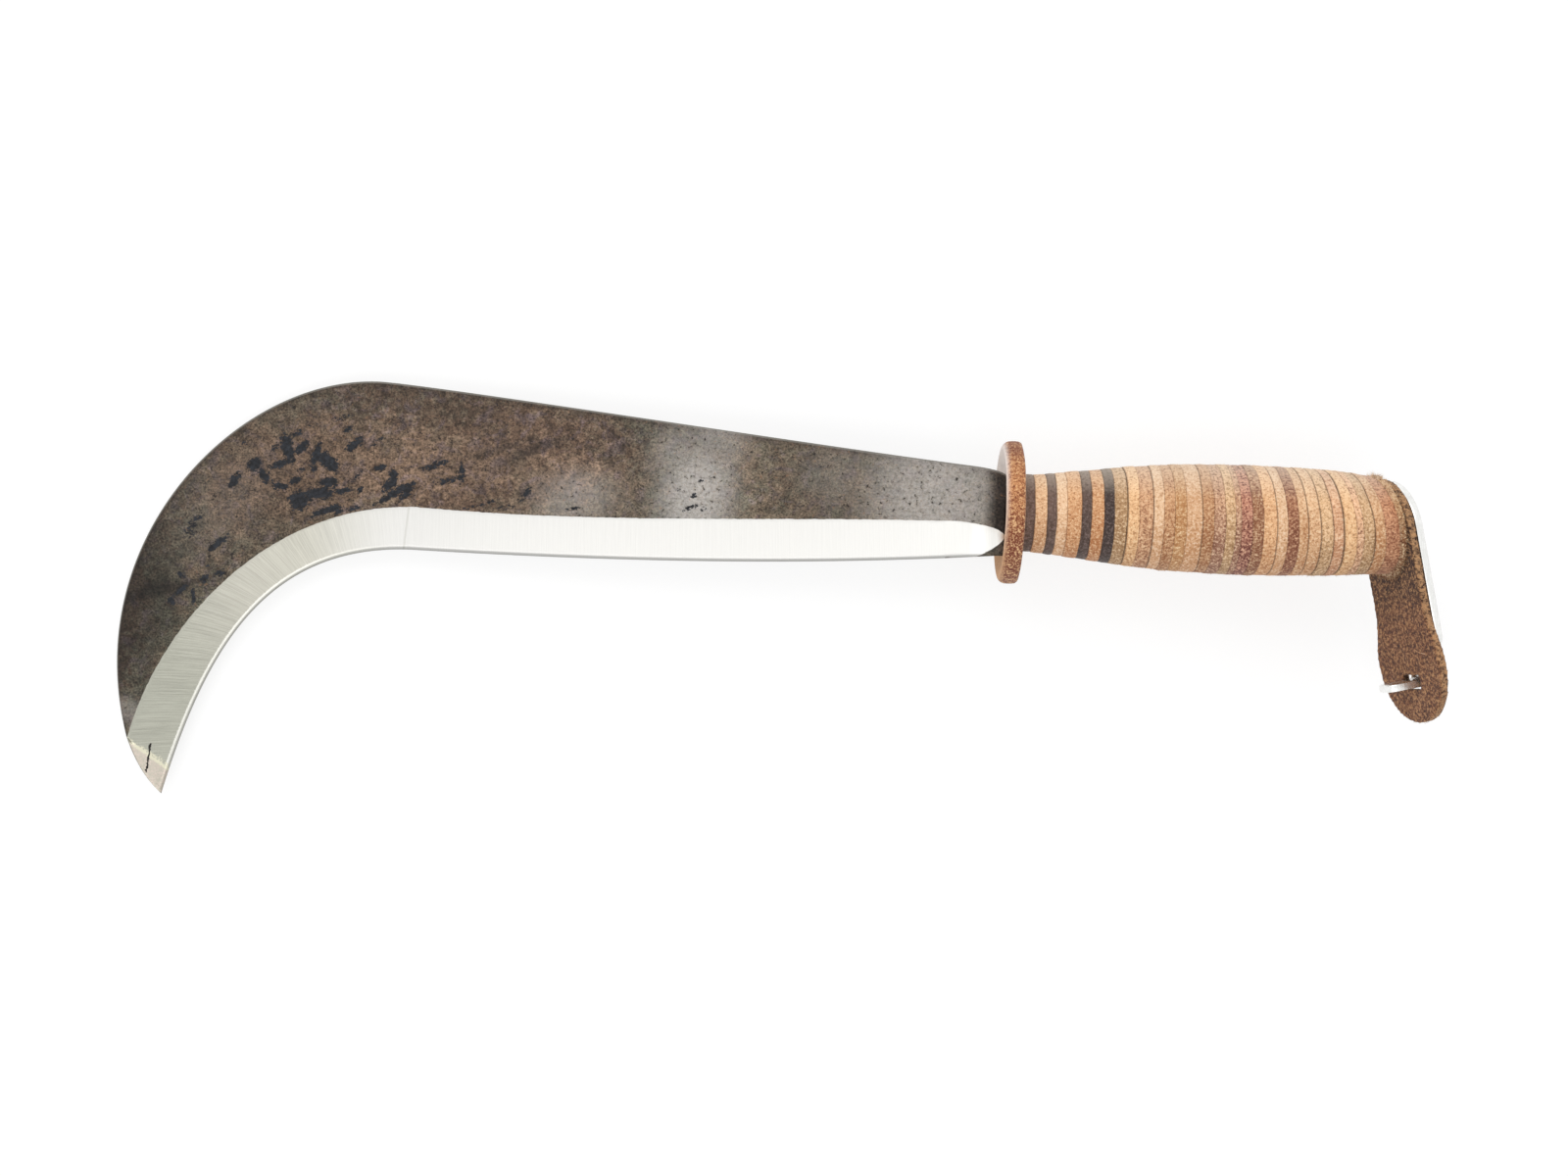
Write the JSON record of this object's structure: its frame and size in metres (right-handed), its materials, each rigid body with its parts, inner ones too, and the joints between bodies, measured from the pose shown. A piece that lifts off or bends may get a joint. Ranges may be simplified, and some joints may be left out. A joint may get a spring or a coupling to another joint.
{
  "type": "billhook",
  "caption": "Hooked pruning blade with a stacked leather grip, a leather guard and a steel belt hook at the butt.",
  "frame": {"origin": "on the grip's axis, where the blade's shoulder meets the guard", "axes": "+X along the grip towards the butt, +Y towards the blade's back, +Z out of the blade's flat side"},
  "size_m": [0.4293, 0.1365, 0.047],
  "materials": {
    "forged_steel": "dark forge scale with a bright ground bevel",
    "strap_steel": "rolled and bright",
    "leather_guard": "cut and burnished edge",
    "leather_suede": "brown suede",
    "leather_black": "ground, furry cut edge",
    "leather_tan": "ground, furry cut edge",
    "leather_pale": "ground, furry cut edge",
    "leather_orange": "ground, furry cut edge",
    "leather_golden": "ground, furry cut edge",
    "leather_olive": "ground, furry cut edge",
    "leather_brown": "ground, furry cut edge",
    "leather_russet": "ground, furry cut edge",
    "leather_mauve": "ground, furry cut edge",
    "leather_burgundy": "ground, furry cut edge",
    "leather_oxblood": "ground, furry cut edge",
    "leather_rose": "ground, furry cut edge"
  },
  "bodies": {
    "root": {"blade": "forged_steel", "guard": "leather_guard", "disc_01": "leather_black", "disc_02": "leather_tan", "disc_03": "leather_black", "disc_04": "leather_pale", "disc_05": "leather_orange", "disc_06": "leather_black", "disc_07": "leather_orange", "disc_08": "leather_black", "disc_09": "leather_olive", "disc_10": "leather_golden", "disc_11": "leather_brown", "disc_12": "leather_pale", "disc_13": "leather_russet", "disc_14": "leather_golden", "disc_15": "leather_pale", "disc_16": "leather_russet", "disc_17": "leather_mauve", "disc_18": "leather_olive", "disc_19": "leather_mauve", "disc_20": "leather_burgundy", "disc_21": "leather_brown", "disc_22": "leather_orange", "disc_23": "leather_pale", "disc_24": "leather_oxblood", "disc_25": "leather_tan", "disc_26": "leather_tan", "disc_27": "leather_olive", "disc_28": "leather_rose", "disc_29": "leather_golden", "disc_30": "leather_mauve", "disc_31": "leather_olive", "disc_32": "leather_tan", "disc_33": "leather_oxblood", "disc_34": "leather_golden", "hook_lining": "leather_suede", "hook_strap": "strap_steel", "butt_washer": "strap_steel"}
  },
  "joints": []
}
